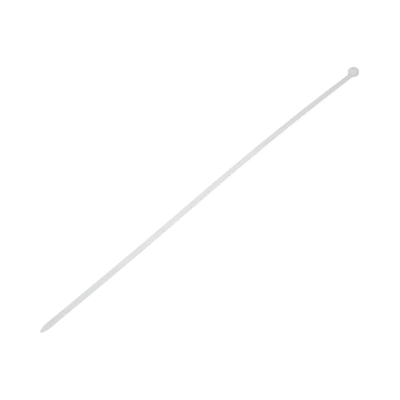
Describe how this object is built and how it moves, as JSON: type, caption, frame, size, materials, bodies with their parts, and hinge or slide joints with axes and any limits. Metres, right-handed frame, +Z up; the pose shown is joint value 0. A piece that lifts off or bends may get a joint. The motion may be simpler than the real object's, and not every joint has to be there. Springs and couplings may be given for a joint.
{
  "type": "cable tie",
  "caption": "Long one-piece nylon cable tie: toothed strap with a pointed grip tail and a slotted head whose hinged pawl locks the strap.",
  "frame": {"origin": "middle of the whole length and width, at the level of the surface that the tie lies on", "axes": "+X along the strap from the pointed tail to the head, +Z up out of the smooth side, Y across the strap"},
  "size_m": [0.43, 0.0098, 0.0056],
  "materials": {
    "nylon": "natural milky nylon with a soft sheen"
  },
  "bodies": {
    "root": {"cable_tie": "nylon"}
  },
  "joints": []
}
